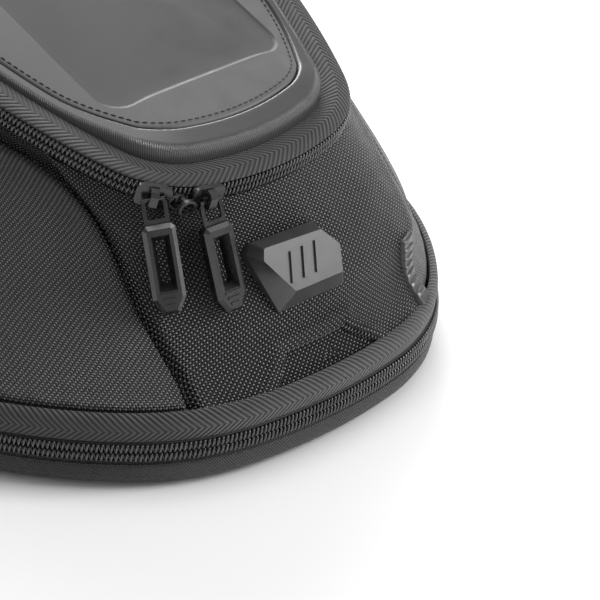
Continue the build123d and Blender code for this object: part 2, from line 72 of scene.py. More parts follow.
# ---- the visual model's own values
CHAIN_PITCH = 1.8                       # zip coils
CREST_FRONT, CREST_SIDE = 11.6, 6.8     # the lid's moulded rim above the plane of its zip
SHOULDER_FRONT, SHOULDER_SIDE = -16.2, -13.4
GROOVE_FRONT, GROOVE_SIDE = -23.0, -16.0
NOSE_LENGTH = 62.0                      # the lid's section changes from front to side over this length
LID_TOP = 12.9
INSET_HALF, INSET_FRONT, INSET_REAR, INSET_CORNER = 46.0, 45.0, 205.0, 11.0     # the lid's darker cloth
PAD_PROUD, PAD_EDGE, PAD_CORNER, SEAM_DEPTH = 0.7, 5.0, 16.0, 3.8       # the side pads
FULL_CORNER, FULL_RIGHT, FULL_LEFT = 1.8, 1.25, 0.1     # the wall's bulge at its front corners
LABEL_SHARE, LABEL_PLACE, LABEL_WIDE, LABEL_TALL = 0.16, 1.56, 9.0, 26.0
ARCS = 10                               # arcs in an outline
# the camera, in the frame's metres
CAMERA_PLACE, CAMERA_TARGET = Vector((-0.78613, -0.88786, 0.66671)), Vector((0.00222, -0.14197, 0.05))
CAMERA_ROLL, CAMERA_LENS = 2.81, 197.4


def mix(a, b, share):
    """A value the given share of the way from a to b."""
    return a + (b - a) * share


def ease(share):
    """0 to 1 with level ends."""
    share = np.clip(share, 0.0, 1.0)
    return share * share * (3 - 2 * share)


def join(*parts):
    """Points from their coordinates."""
    return np.stack(np.broadcast_arrays(*parts), axis=-1)


def grid(rows, columns):
    return join(*np.meshgrid(rows, columns, indexing="ij"))


# ---- outlines: a place on one is the number of its arc plus the share of that arc

def ring_arcs(half, shape=()):
    """Every arc of a whole outline, anticlockwise from the rider's end: x, y, radius, start and sweep."""
    x = y = heading = np.zeros(shape)
    right = []
    turned = sum(turn for _, turn in half)
    for radius, turn in half + [(None, 180.0 - turned)]:
        if radius is None:
            radius = x / np.sin(np.radians(turn))
        radius, turn = radius + np.zeros(shape), turn + np.zeros(shape)
        middle_x = x - radius * np.sin(np.radians(heading))
        middle_y = y + radius * np.cos(np.radians(heading))
        right.append((middle_x, middle_y, radius, heading - 90.0, turn))
        heading = heading + turn
        x = middle_x + radius * np.sin(np.radians(heading))
        y = middle_y - radius * np.cos(np.radians(heading))
    nose, sides, tail = right[0], right[1:-1], right[-1]
    whole = [(0 * x, nose[1], nose[2], -90.0 - nose[4], 2 * nose[4])] + sides
    whole.append((0 * x, tail[1], tail[2], tail[3], 2 * tail[4]))
    whole += [(-a, b, radius, 180.0 - start - sweep, sweep) for a, b, radius, start, sweep in reversed(sides)]
    return np.array(whole)


def on_outline(half, place, offset):
    """Points of an outline at some places, moved outwards."""
    place, offset = np.broadcast_arrays(np.asarray(place, float) % ARCS, offset)
    number = np.minimum(place.astype(int), ARCS - 1)
    varies = any(np.ndim(value) for arc in half for value in arc)
    arcs = ring_arcs(half, place.shape if varies else ())
    if varies:
        arc = np.take_along_axis(arcs, number[None, None], axis=0)[0]
    else:
        arc = np.moveaxis(arcs[number], -1, 0)
    x, y, radius, start, sweep = arc
    angle = np.radians(start + sweep * (place - number))
    return join(x + np.cos(angle) * (radius + offset), y + np.sin(angle) * (radius + offset))


def arc_lengths(half):
    arcs = ring_arcs(half)
    return np.concatenate([[0.0], np.cumsum(arcs[:, 2] * np.radians(arcs[:, 4]))])


def places_along(half, distance):
    """Places at distances from the middle of the rider's end, anticlockwise."""
    edges = arc_lengths(half)
    along = (np.asarray(distance, float) + edges[1] / 2) % edges[-1]
    number = np.clip(np.searchsorted(edges, along, side="right") - 1, 0, ARCS - 1)
    return number + (along - edges[number]) / (edges[number + 1] - edges[number])


def run_along(half, distances, offset=0.0):
    """Points of an outline at distances from the middle of the rider's end, moved outwards."""
    return on_outline(half, places_along(half, distances), offset)


def half_way_round(half):
    return arc_lengths(half)[-1] / 2


def whole_way(half, step):
    """Evenly spaced distances round a whole outline. Both ends are at the middle of its far end."""
    reach = half_way_round(half)
    return np.linspace(-reach, reach, round(2 * reach / step) + 1)


def distance_to(half, y):
    """Distance from the middle of the rider's end to where the right side reaches y."""
    distance = np.linspace(0, half_way_round(half), 2000)
    return float(np.interp(y, run_along(half, distance)[:, 1], distance))


def part_way(half, y, step):
    """Evenly spaced distances along the part of an outline on the rider's side of y."""
    reach = distance_to(half, y)
    return np.linspace(-reach, reach, round(2 * reach / step) + 1)


LID_LENGTH = float(run_along(LID, half_way_round(LID))[1])
TAIL = LID_LENGTH - HINGE_IN - 1.4      # where the lid's rim ends


def on_level(flat, height):
    return join(flat[..., 0], flat[..., 1], height)


def on_lid(flat, height):
    """Points above the plane of the lid's zip."""
    tilt = radians(LID_TILT)
    y = LID_Y - height * sin(tilt) + flat[..., 1] * cos(tilt)
    z = LID_Z + height * cos(tilt) + flat[..., 1] * sin(tilt)
    return join(flat[..., 0], y, z)


# ---- the wall between the band and the lid

def wall_at(share, place, out=0.0):
    """Points of the wall's outer face at shares of its height."""
    share, place = np.broadcast_arrays(np.asarray(share, float), np.asarray(place, float))
    half = [(mix(a[0], b[0], share), mix(a[1], b[1], share)) for a, b in zip(BASE, LID)]
    waist = WAIST * 4 * share * (1 - share) * (1 + WAIST_SKEW * (0.5 - share))
    right = np.exp(-((place % ARCS - FULL_CORNER) / 0.8) ** 2)
    left = np.exp(-((ARCS + 1 - place % ARCS - FULL_CORNER) / 0.8) ** 2)
    waist = waist * (1 - (FULL_RIGHT * right + FULL_LEFT * left) * ease(share / 0.35))
    flat = on_outline(half, place, mix(FOOT_OFFSET, TOP_OFFSET, share) - waist + out)
    top = on_lid(np.zeros(2), -4.2)
    tilt = np.radians(LID_TILT * share)
    y = top[1] * share + flat[..., 1] * np.cos(tilt)
    z = mix(BAND_TOP + 0.1, top[2], share) + flat[..., 1] * np.sin(tilt)
    return join(flat[..., 0], y, z)


def side_seam(share, side, foot_y, foot_z, top_y, rise, bend=0.0):
    """Places where one side of the wall crosses a seam that is nearly straight in side view. The left side's
    places are given as if they were mirrored to the right."""
    low, high = np.full(share.shape, 0.5), np.full(share.shape, ARCS / 2 + 0.5)
    for _ in range(30):
        middle = (low + high) / 2
        point = wall_at(share, on_side(middle, side))
        line = foot_y + (point[..., 2] - foot_z) * (top_y - foot_y) / rise + bend
        before = point[..., 1] < line
        low, high = np.where(before, middle, low), np.where(before, high, middle)
    return low


def on_side(place, side):
    return place if side > 0 else ARCS + 1 - place


def front_seam(share, side):
    bend = 3.0 * np.sin(pi * share ** 0.8) - 7.5 * np.sin(pi * share ** 2.5)
    return side_seam(share, side, foot_y=13.0, foot_z=30.2, top_y=86.0, rise=77.9, bend=bend)


def rear_seam(share):
    return side_seam(share, 1, foot_y=278.0, foot_z=30.2, top_y=240.0, rise=129.1)


def unit(vectors):
    return vectors / np.linalg.norm(vectors, axis=-1, keepdims=True)


def normals_of(points, closed=False):
    """Unit normals of a sheet of points. A closed one has its first row again at the end."""
    if closed:
        along = (np.roll(points[:-1], -1, axis=0) - np.roll(points[:-1], 1, axis=0))
        along = np.concatenate([along, along[:1]])
    else:
        along = np.gradient(points, axis=0)
    return unit(np.cross(along, np.gradient(points, axis=1)))


def wall_frame(share, place, out):
    """A point on the wall and the directions along it, up it and outwards."""
    step = 0.01
    point = wall_at(share, place)
    along = unit(wall_at(share, place + step) - wall_at(share, place - step))
    up = unit(wall_at(share + step, place) - wall_at(share - step, place))
    outwards = unit(np.cross(along, up))
    return point + outwards * out, along, np.cross(outwards, along), outwards


def run_lengths(line):
    """Distance of each point of a line from its first, along the line."""
    steps = np.linalg.norm(np.diff(line, axis=0), axis=-1)
    return np.concatenate([[0.0], np.cumsum(steps)])


def ripple(u, v, size, seed):
    """Soft unevenness between about -1 and 1, with humps of the given size."""
    draw = np.random.default_rng(seed)
    total = 0.0
    for _ in range(7):
        bearing, phase = draw.uniform(0, pi), draw.uniform(0, 2 * pi)
        pace = 2 * pi / (size * draw.uniform(0.7, 1.6))
        total = total + np.sin((u * cos(bearing) + v * sin(bearing)) * pace + phase)
    return total / 3.5


def eased_line(points, steps, closed=False):
    """A smooth line through a few points."""
    points = np.asarray(points, float)
    if closed:
        padded = np.concatenate([points[-1:], points, points[:2]])
    else:
        padded = np.concatenate([2 * points[:1] - points[1:2], points, 2 * points[-1:] - points[-2:-1]])
    share = np.arange(steps)[:, None] / steps
    pieces = []
    for a, b, c, d in zip(padded, padded[1:], padded[2:], padded[3:]):
        pieces.append(b + 0.5 * share * (c - a + share * (2 * a - 5 * b + 4 * c - d
                                                          + share * (3 * (b - c) + d - a))))
    line = np.concatenate(pieces)
    return np.concatenate([line, line[:1] if closed else points[-1:]])


def in_scene(name, data):
    """A new object in the scene."""
    thing = bpy.data.objects.new(name, data)
    bpy.context.scene.collection.objects.link(thing)
    return thing


class Shape:
    """Collects the faces of one piece, with texture coordinates in millimetres."""

    def __init__(self):
        self.points, self.quads, self.coordinates, self.slots = [], [], [], []
        self.count = 0

    def sheet(self, points, coordinates=None, slot=0):
        """Adds a sheet of quads."""
        rows, columns = points.shape[:2]
        if coordinates is None:
            u = run_lengths(points[:, columns // 2])
            v = run_lengths(points[rows // 2])
            coordinates = grid(u, v)
        index = self.count + np.arange(rows * columns).reshape(rows, columns)
        quads = np.stack([index[:-1, :-1], index[1:, :-1], index[1:, 1:], index[:-1, 1:]], axis=-1)
        self.points.append(points.reshape(-1, 3))
        self.quads.append(quads.reshape(-1, 4))
        self.coordinates.append(coordinates.reshape(-1, 2))
        self.slots.append(np.full(quads.size // 4, slot))
        self.count += rows * columns
        return self

    def tube(self, path, radius, across, sides, slot=0):
        """Adds a round thread along a path. The path never runs along the across direction."""
        ahead = unit(np.gradient(path, axis=0))
        side = unit(np.cross(ahead, across))
        up = np.cross(side, ahead)
        angle = np.linspace(0, 2 * pi, sides + 1)[None, :, None]
        radius = np.broadcast_to(radius, len(path))[:, None, None]
        ring = side[:, None] * np.cos(angle) + up[:, None] * np.sin(angle)
        return self.sheet(path[:, None] + radius * ring, slot=slot)

    def swept(self, half, profile, lay, distances):
        """Adds a closed profile of (offset, height) points, run along an outline."""
        profile = np.asarray(profile)
        points = lay(run_along(half, distances[:, None], profile[:, 0]), profile[:, 1])
        return self.sheet(points, grid(distances, run_lengths(profile)))

    def stitches(self, path, out, pitch=3.0, length=2.1, radius=0.28, slot=0):
        """Adds short threads that rise out of the cloth and dip back into it."""
        lengths = run_lengths(path)
        out = np.broadcast_to(out, path.shape)
        across = unit(out)
        for start in np.arange(pitch / 2, lengths[-1] - pitch, pitch):
            at = start + np.linspace(0, length, 5)
            line = join(*[np.interp(at, lengths, path[:, axis]) for axis in range(3)])
            lift = join(*[np.interp(at, lengths, across[:, axis]) for axis in range(3)])
            rise = radius * (1.5 * np.sin(np.linspace(0, pi, 5)) - 0.7)
            self.tube(line + lift * rise[:, None], radius, lift, 5, slot)
        return self

    def piece(self, name, looks, body, facing=0, thickness=0.0, filled=False, weld=True):
        """Writes the piece. An open sheet faces away from the bag's middle if facing is 1, to it if -1."""
        points = (np.concatenate(self.points) - (0.0, ORIGIN_Y, 0.0)) / 1000
        quads = np.concatenate(self.quads)
        mesh = bpy.data.meshes.new(name)
        mesh.from_pydata(points.tolist(), [], quads.tolist())
        weave = mesh.uv_layers.new(name="weave")
        weave.data.foreach_set("uv", np.concatenate(self.coordinates)[quads].astype(np.float32).ravel())
        for look in looks if isinstance(looks, list) else [looks]:
            mesh.materials.append(look)
        mesh.polygons.foreach_set("material_index", np.concatenate(self.slots).astype(np.int32))
        mesh.polygons.foreach_set("use_smooth", np.ones(len(quads), bool))
        finish_mesh(mesh, facing, filled, weld)
        piece = in_scene(name, mesh)
        if thickness:
            solid = piece.modifiers.new("thickness", "SOLIDIFY")
            solid.thickness = thickness / 1000
            solid.offset = -1
        if body:
            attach(piece, body)
        return piece


BAG_MIDDLE = Vector((0.0, 0.0, 0.065))


def finish_mesh(mesh, facing, filled, weld):
    """Joins the doubled edges of closed shapes, closes open ends and turns the faces outwards."""
    work = bmesh.new()
    work.from_mesh(mesh)
    if weld:
        bmesh.ops.remove_doubles(work, verts=work.verts, dist=2e-6)
        bmesh.ops.dissolve_degenerate(work, edges=work.edges, dist=1e-7)
    if filled:
        bmesh.ops.holes_fill(work, edges=[edge for edge in work.edges if edge.is_boundary], sides=0)
    if facing:
        away = 0.0
        for face in work.faces:
            away += face.normal.dot(face.calc_center_median() - BAG_MIDDLE) * face.calc_area()
        if away * facing < 0:
            bmesh.ops.reverse_faces(work, faces=work.faces)
    else:
        bmesh.ops.recalc_face_normals(work, faces=work.faces)
    work.to_mesh(mesh)
    work.free()


# ---- materials

class Look:
    """One procedural material, built a node at a time."""

    def __init__(self, name, roughness, **shader):
        self.material = bpy.data.materials.new(name)
        self.material.use_nodes = True
        self.tree = self.material.node_tree
        self.shader = self.tree.nodes["Principled BSDF"]
        self.shader.inputs["Roughness"].default_value = roughness
        for key, value in shader.items():
            self.shader.inputs[key.replace("_", " ")].default_value = value

    def node(self, kind, inputs, output=0, **settings):
        node = self.tree.nodes.new(kind)
        for key, value in settings.items():
            setattr(node, key, value)
        for key, value in inputs.items():
            if isinstance(value, bpy.types.NodeSocket):
                self.tree.links.new(value, node.inputs[key])
            else:
                node.inputs[key].default_value = value
        return node.outputs[output]

    def math(self, operation, *values):
        return self.node("ShaderNodeMath", dict(enumerate(values)), operation=operation)

    def times(self, a, b):
        return self.math("MULTIPLY", a, b)

    def plus(self, a, b):
        return self.math("ADD", a, b)

    def weave_place(self):
        """The texture coordinates, in millimetres along a piece and across it."""
        place = self.node("ShaderNodeUVMap", {}, uv_map="weave")
        split = self.node("ShaderNodeSeparateXYZ", {0: place})
        return split, split.node.outputs[1]

    def noise(self, size, detail=2.0):
        """Noise with grains of a size in millimetres."""
        place = self.node("ShaderNodeTexCoord", {}, output=3)
        place = self.node("ShaderNodeVectorMath", {0: place, 3: 1000.0}, operation="SCALE")
        return self.node("ShaderNodeTexNoise", {"Vector": place, "Scale": 1 / size, "Detail": detail})

    def ramp(self, value, *stops):
        """A colour or grey that follows a value through (value, colour) stops."""
        ramp = self.node("ShaderNodeValToRGB", {0: value})
        elements = ramp.node.color_ramp.elements
        while len(elements) < len(stops):
            elements.new(0.5)
        for element, (at, colour) in zip(elements, stops):
            element.position = at
            element.color = tuple(colour) + (1.0,) if np.ndim(colour) else (colour, colour, colour, 1.0)
        return ramp

    def finish(self, colour, height=None, depth=0.1, roughness=None):
        """Ties colour, relief in millimetres and roughness to the shader."""
        self.tree.links.new(colour, self.shader.inputs["Base Color"])
        if height is not None:
            bump = self.node("ShaderNodeBump", {"Height": height, "Distance": depth / 1000, "Strength": 1.0})
            self.tree.links.new(bump, self.shader.inputs["Normal"])
        if roughness is not None:
            self.tree.links.new(roughness, self.shader.inputs["Roughness"])
        return self.material


def plain_weave(look, u, v, pitch_u, pitch_v):
    """Height of a plain weave, and which of its two threads is on top, from -1 to 1."""
    across = look.math("SINE", look.times(u, pi / pitch_u))
    along = look.math("SINE", look.times(v, pi / pitch_v))
    over = look.times(across, along)
    lift = look.times(over, 0.5)
    warp = look.times(look.math("SQRT", look.math("ABSOLUTE", across)), look.plus(lift, 0.5))
    weft = look.times(look.math("SQRT", look.math("ABSOLUTE", along)), look.math("SUBTRACT", 0.5, lift))
    return look.math("MAXIMUM", warp, weft), over


def worn(look, colour, amount=0.35, size=18.0):
    """A colour that varies a little over the piece."""
    grain = look.noise(size)
    shade = look.plus(look.times(grain, amount), 1.0 - amount / 2)
    return look.node("ShaderNodeVectorMath", {0: colour, 3: shade}, operation="SCALE")


def woven(name, pitch_u, pitch_v, dark, middle, light, depth, roughness, sheen):
    """Plain woven cloth. Its colour follows the weave's relief: painted highlight on the raised threads,
    stronger where the warp lies on top, and painted shade in the gaps between threads.
    """
    look = Look(name, roughness, Sheen_Weight=sheen, Sheen_Roughness=0.4)
    u, v = look.weave_place()
    height, over = plain_weave(look, u, v, pitch_u, pitch_v)
    # painted light: lighter on high threads and on top-lying warp (painted highlight), near black in the gaps
    # (painted shade)
    tone = look.plus(look.times(height, 0.72), look.times(over, 0.2))
    colour = look.ramp(tone, (0.18, dark), (0.55, middle), (0.88, light))
    return look.finish(worn(look, colour), height, depth)


def tape_look(name, middle, stroke, slant, dark, light, depth):
    """Herringbone tape: slanted strokes that turn round at the middle of the tape."""
    look = Look(name, 0.62, Sheen_Weight=0.15, Sheen_Roughness=0.45)
    u, v = look.weave_place()
    rise = look.times(look.math("ABSOLUTE", look.math("SUBTRACT", v, middle)), slant)
    strokes = look.times(look.plus(u, rise), 2 * pi / stroke)
    ridge = look.plus(look.times(look.math("SINE", strokes), 0.5), 0.5)
    thread = look.math("SINE", look.times(look.math("SUBTRACT", v, look.times(u, 0.4)), 11.0))
    height = look.plus(ridge, look.times(thread, 0.16))
    # The colour follows the relief: painted highlight on the ridges of the strokes, painted shade in the
    # grooves between them.
    colour = look.ramp(height, (0.1, dark), (0.85, light))
    return look.finish(worn(look, colour, 0.5, 9.0), height, depth)


def ribbed_look(name, pitch, dark, light, depth):
    """Narrow woven tape with ribs across it."""
    look = Look(name, 0.6, Sheen_Weight=0.1)
    u, v = look.weave_place()
    height, _ = plain_weave(look, u, v, pitch, pitch * 0.45)
    # The colour follows the weave's relief: painted highlight on the raised threads, painted shade between
    # them.
    return look.finish(worn(look, look.ramp(height, (0.2, dark), (0.9, light))), height, depth)


def shell_look(rib_from, rib_to):
    """Moulded laminate: fine ribs on the riser of the rim, a faint grain elsewhere."""
    look = Look("moulded_laminate", 0.36, Specular_IOR_Level=0.8)
    u, v = look.weave_place()
    slanted = look.plus(u, look.times(v, 0.35))
    rib = look.math("SINE", look.times(slanted, 2 * pi / 0.95))
    into = look.node("ShaderNodeMapRange", {0: v, 1: rib_from, 2: rib_from + 1.0, 3: 0.0, 4: 1.0})
    away = look.node("ShaderNodeMapRange", {0: v, 1: rib_to - 1.6, 2: rib_to, 3: 1.0, 4: 0.0})
    ribs = look.times(look.times(rib, 0.5), look.times(into, away))
    grain = look.noise(0.5, 3.0)
    height = look.plus(ribs, look.times(grain, 0.3))
    # The colour follows the height of the ribs and grain: painted highlight on their tops, painted shade
    # between them.
    colour = look.ramp(height, (0.0, 0.025), (0.6, 0.065))
    return look.finish(worn(look, colour, 0.2, 25.0), height, 0.16)


def grained(name, colour, roughness, size, depth, contrast=0.3, **shader):
    """A moulded, coated or foamed surface with a fine grain and slight wear."""
    look = Look(name, roughness, **shader)
    grain = look.noise(size, 3.0)
    blotch = look.noise(size * 24, 3.0)
    tone = look.ramp(blotch, (0.3, colour * (1 - contrast)), (0.7, colour * (1 + contrast)))
    gloss = {0: blotch, 1: 0.3, 2: 0.7, 3: roughness - 0.05, 4: roughness + 0.07}
    return look.finish(tone, grain, depth, look.node("ShaderNodeMapRange", gloss))


def mesh_look():
    """Open mesh, shown as dark hexagonal holes in a thin net."""
    look = Look("pocket_mesh", 0.7)
    u, v = look.weave_place()
    place = look.node("ShaderNodeCombineXYZ", {0: u, 1: v})
    cells = look.node("ShaderNodeTexVoronoi", {"Vector": place, "Scale": 0.62, "Randomness": 0.12},
                      feature="DISTANCE_TO_EDGE")
    # The holes are painted near black: painted shade in place of real open holes.
    net = look.ramp(cells, (0.1, 0.07), (0.2, 0.004))
    height = look.ramp(cells, (0.08, 1.0), (0.2, 0.0))
    return look.finish(net, height, 0.3)


def floor_look():
    look = Look("studio_floor", 0.75)
    return look.finish(look.ramp(look.noise(400.0), (0.3, 0.86), (0.7, 0.88)))


ballistic = woven("ballistic_weave", 1.22, 1.05, 0.0005, 0.012, 0.3, 1.1, 0.36, 0.0)
side_cloth = woven("fine_side_weave", 1.08, 0.96, 0.003, 0.03, 0.26, 0.6, 0.4, 0.0)
lining = woven("lining_weave", 0.5, 0.5, 0.03, 0.055, 0.085, 0.06, 0.6, 0.1)
band_tape = tape_look("band_herringbone", 6.0, 2.5, 1.1, 0.002, 0.075, 0.55)
lid_tape = tape_look("lid_herringbone", 6.2, 2.5, 1.1, 0.002, 0.045, 0.6)
foot_tape = tape_look("foot_twill", 90.0, 1.15, 0.8, 0.004, 0.04, 0.3)
zip_tape = ribbed_look("zip_tape", 0.8, 0.004, 0.012, 0.08)
webbing = ribbed_look("webbing_ribs", 1.3, 0.008, 0.05, 0.25)
coil_black = grained("coil_nylon", 0.045, 0.2, 0.4, 0.01, Specular_IOR_Level=1.0)
thread_black = grained("stitch_thread", 0.012, 0.55, 0.3, 0.05)
rubber = grained("satin_rubber", 0.04, 0.34, 0.35, 0.015, 0.15, Specular_IOR_Level=0.8)
grip_rubber = grained("grip_rubber", 0.008, 0.27, 0.3, 0.012, 0.15, Specular_IOR_Level=0.9)
metal = grained("satin_black_metal", 0.02, 0.18, 0.25, 0.004, 0.15, Metallic=0.25, Specular_IOR_Level=1.0)
plastic = grained("moulded_plastic", 0.03, 0.5, 0.45, 0.05)
foam = grained("foam_cloth", 0.06, 0.85, 0.6, 0.2)
steel = grained("plated_steel", 0.5, 0.28, 0.3, 0.01, Metallic=1.0)
centre_cloth = grained("centre_laminate", 0.085, 0.5, 0.4, 0.06, 0.08)
inset_cloth = grained("inset_laminate", 0.04, 0.5, 0.5, 0.06, 0.1)
shell_cloth = shell_look(0.5, 10.5)
net = mesh_look()


# ---- wall pieces

def dense_ends(count):
    """Shares from 0 to 1 and distances that are added to them: close together at both ends."""
    ends = np.array([0.0, 0.3, 0.8, 1.5, 2.3, 3.2, 4.4])
    inner = np.linspace(0, 1, count)[1:-1]
    share = np.concatenate([0 * ends, inner, 0 * ends + 1])
    extra = np.concatenate([ends, mix(ends[-1], -ends[-1], inner), -ends[::-1]])
    return share, extra


def wall_patch(low, high, start, end, rows, columns):
    """Shares and places on the wall between two seams and two heights, evenly spaced along each row."""
    share, extra = dense_ends(rows)
    heights = mix(low, high, share) + extra / WALL_RISE
    starts, ends = start(heights), end(heights)
    across, extra = dense_ends(columns)
    places = []
    for at, first, last in zip(heights, starts, ends):
        dense = np.linspace(first, last, 500)
        along = run_lengths(wall_at(at, dense))
        places.append(np.interp(across * along[-1] + extra, along, dense))
    return np.repeat(heights[:, None], len(across), axis=1), np.array(places)


def recess_depth(points):
    """How far the small recess at the foot of the front wall is pressed in."""
    foot_half, top_half, top_z = 27.5, 15.0, 39.8
    x, z = points[..., 0], points[..., 2]
    half = mix(foot_half, top_half, np.clip((z - BAND_TOP) / (top_z - BAND_TOP), 0, 1))
    inside = np.minimum((half - np.abs(x)) * 0.8, (top_z - z) * 1.35)
    return 1.3 * np.exp(-((inside + 3.2) / 2.4) ** 2) - 2.4 * ease(inside / 1.3)


def edge_distances(points):
    """Distances along each row and each column of a patch, and to its nearest side and end."""
    rows = np.array([run_lengths(row) for row in points])
    columns = np.array([run_lengths(column) for column in np.moveaxis(points, 1, 0)]).T
    return rows, columns, np.minimum(rows, rows[:, -1:] - rows), np.minimum(columns, columns[-1:] - columns)


def rolled_edge(inside, edge):
    """A rounded rise from 0 at the edge of a panel to 1."""
    return np.sqrt(np.clip(1 - (1 - np.clip(inside / edge, 0, 1)) ** 2, 0, 1))


def outwards(points):
    """Unit normals of a patch of the wall, away from the bag."""
    normal = normals_of(points)
    inside = (0.0, MIDDLE_Y, 60.0)
    return normal if (normal * (points - inside)).sum() > 0 else -normal


def front_wall():
    """The coarse fabric of the front wall. It dives into the seams beside the padded panels."""
    shares, places = wall_patch(0.0, 1.0, lambda share: 1.0 - front_seam(share, -1),
                                lambda share: front_seam(share, 1), rows=80, columns=110)
    points = wall_at(shares, places)
    rows, columns, side, _ = edge_distances(points)
    swell = 0.3 * ripple(rows, columns, 34.0, 3) + 0.12 * ripple(rows, columns, 11.0, 4)
    swell *= ease(shares / 0.06) * ease((1 - shares) / 0.06)
    seam = 0.9 * np.exp(-((side - 9.5) / 4.5) ** 2) - SEAM_DEPTH * ease(1 - side / 6.0) ** 1.5
    tuck = np.exp(BAND_TOP - points[..., 2])
    out = recess_depth(points) + swell + seam - tuck
    shape = Shape().sheet(points + outwards(points) * out[..., None], join(rows - rows[:, -1:] / 2, columns))
    piece = shape.piece("front_fabric", ballistic, "upper", facing=1, thickness=1.0)
    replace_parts(piece, "front_panel")


def side_pads():
    """The padded side panels, in a finer weave."""
    for name, sign in (("right", 1), ("left", -1)):
        shares, places = wall_patch(0.004, 0.935, lambda share: front_seam(share, sign), rear_seam,
                                    rows=64, columns=150)
        points = wall_at(shares, on_side(places, sign))
        rows, columns, side, end = edge_distances(points)
        from_corner = np.maximum(PAD_CORNER - side, 0), np.maximum(PAD_CORNER - end, 0)
        at_top = columns > columns[-1:] / 2
        at_corner = at_top & (side < PAD_CORNER) & (end < PAD_CORNER)
        inside = np.where(at_corner, PAD_CORNER - np.hypot(*from_corner), np.minimum(side, end))
        pucker = 0.3 * np.sin(rows * 2 * pi / 13.0) * np.exp(-end / 7.0) * ease(inside / PAD_EDGE)
        crown = 0.5 * ease(inside / 30.0) + 0.25 * ripple(rows, columns, 40.0, 8) * ease(inside / 12.0)
        out = (SEAM_DEPTH + PAD_PROUD) * rolled_edge(inside, PAD_EDGE) - SEAM_DEPTH + crown + pucker
        shape = Shape().sheet(points + outwards(points) * out[..., None], join(rows, columns))
        piece = shape.piece(f"side_pad_{name}", side_cloth, "upper", facing=1)
        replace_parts(piece, f"{name}_side_panel")


def rear_pad():
    """The padded rear panel, low enough for the handle's anchors and the cable port."""
    shares, places = wall_patch(0.004, 0.97, rear_seam, lambda share: ARCS + 1.0 - rear_seam(share),
                                rows=60, columns=110)
    points = wall_at(shares, places)
    rows, columns, side, end = edge_distances(points)
    edge, proud = 2.5, 0.6
    lift = rolled_edge(np.minimum(side, end), edge)
    out = (SEAM_DEPTH + proud) * lift - SEAM_DEPTH + 0.2 * ripple(rows, columns, 45.0, 12) * ease(end / 12.0)
    normal = outwards(points)
    points = points + normal * out[..., None]
    piece = Shape().sheet(points, join(rows, columns)).piece("rear_pad", ballistic, "upper", facing=1)
    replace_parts(piece, "rear_panel")
    threads = Shape()
    seam_columns = (7, -8)
    for column in seam_columns:
        threads.stitches(points[4:-4, column], normal[4:-4, column])
    threads.piece("rear_stitches", thread_black, "upper")


def side_label():
    """The ribbed rubber label beside the right seam."""
    along = np.array([-0.5, -0.497, -0.48, -0.44, -0.3, 0.3, 0.44, 0.48, 0.497, 0.5])
    up = np.linspace(-0.5, 0.5, 120)
    spot = wall_at(LABEL_SHARE, LABEL_PLACE)
    per_place = np.linalg.norm(wall_at(LABEL_SHARE, LABEL_PLACE + 0.05) - spot) / 0.05
    per_share = np.linalg.norm(wall_at(LABEL_SHARE + 0.02, LABEL_PLACE) - spot) / 0.02
    places = LABEL_PLACE + along * LABEL_WIDE / per_place
    shares = LABEL_SHARE + up[:, None] * LABEL_TALL / per_share
    points = wall_at(shares, places)
    ribs = 7
    rib = ease(np.sin(up * pi * (2 * ribs + 1)) * 2)[:, None] * ease((0.46 - abs(along)) / 0.06)
    inset = ease((0.5 - abs(up)) / 0.03)[:, None] * ease((0.5 - abs(along)) / 0.02)
    points = points + outwards(points) * (-2.0 + 3.6 * inset + 0.8 * rib * inset)[..., None]
    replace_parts(Shape().sheet(points).piece("ribbed_label", rubber, "upper", facing=1), "side_label")


def wall_core():
    """The foam layer behind the panels of the wall. At its top it comes out to the zip."""
    distances = whole_way(BASE, 4.0)
    share = np.linspace(0.0, 1.0, 40)
    out = mix(-SEAM_DEPTH - 0.4, -0.5, ease((share - 0.925) / 0.07))
    points = wall_at(share, places_along(BASE, distances)[:, None], out)
    shape = Shape().sheet(points, grid(distances, share * 100))
    shape.piece("wall_core", ballistic, "upper", facing=1, thickness=0.6)


def inner_lining():
    """The lining of the wall."""
    distances = whole_way(BASE, 5.0)
    share = np.linspace(0.0, 1.0, 30)
    points = wall_at(share, places_along(BASE, distances)[:, None], -WALL - 1.4)
    u, v = np.meshgrid(distances, share * 100, indexing="ij")
    sag = 0.35 * ripple(u, v, 26.0, 21) * ease(share / 0.1) * ease((1 - share) / 0.1)
    points = points + normals_of(points, True) * sag[..., None]
    shape = Shape().sheet(points, join(u, v))
    piece = shape.piece("inner_lining", lining, "upper", facing=-1, thickness=-0.6)
    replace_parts(piece, "wall_lining")
    length = 2 * half_way_round(BASE) / 1000


# ---- bands and zips at the foot

def bands():
    """The herringbone band above the expansion zip and the twill binding below it."""
    distances = whole_way(BASE, 2.2)
    upper = eased_line([(-0.9, ZIP_TOP + 0.4), (0.3, 20.7), (0.9, 23.4), (1.1, 26.5), (0.7, 29.2),
                        (-0.5, 31.0), (-2.2, 31.5), (-2.6, 30.4), (-2.6, 25.0), (-2.5, 20.6)], 4, closed=True)
    shape = Shape().swept(BASE, upper, on_level, distances)
    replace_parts(shape.piece("band_herringbone", band_tape, "upper"), "upper_binding")
    lower = eased_line([(-0.7, ZIP_FOOT - 0.3), (0.2, 11.4), (0.7, 9.2), (0.7, 6.8), (0.1, 4.3), (-1.5, 2.4),
                        (-2.7, 2.3), (-2.9, 4.0), (-2.9, 8.0), (-2.6, 11.8)], 4, closed=True)
    piping = [(0.65, 10.4), (0.9, 10.6), (0.9, 10.9), (0.6, 11.1), (0.65, 10.4)]
    shape = Shape().swept(BASE, lower, on_level, distances).swept(BASE, piping, on_level, distances)
    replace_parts(shape.piece("foot_binding", foot_tape, "base"), "lower_binding")


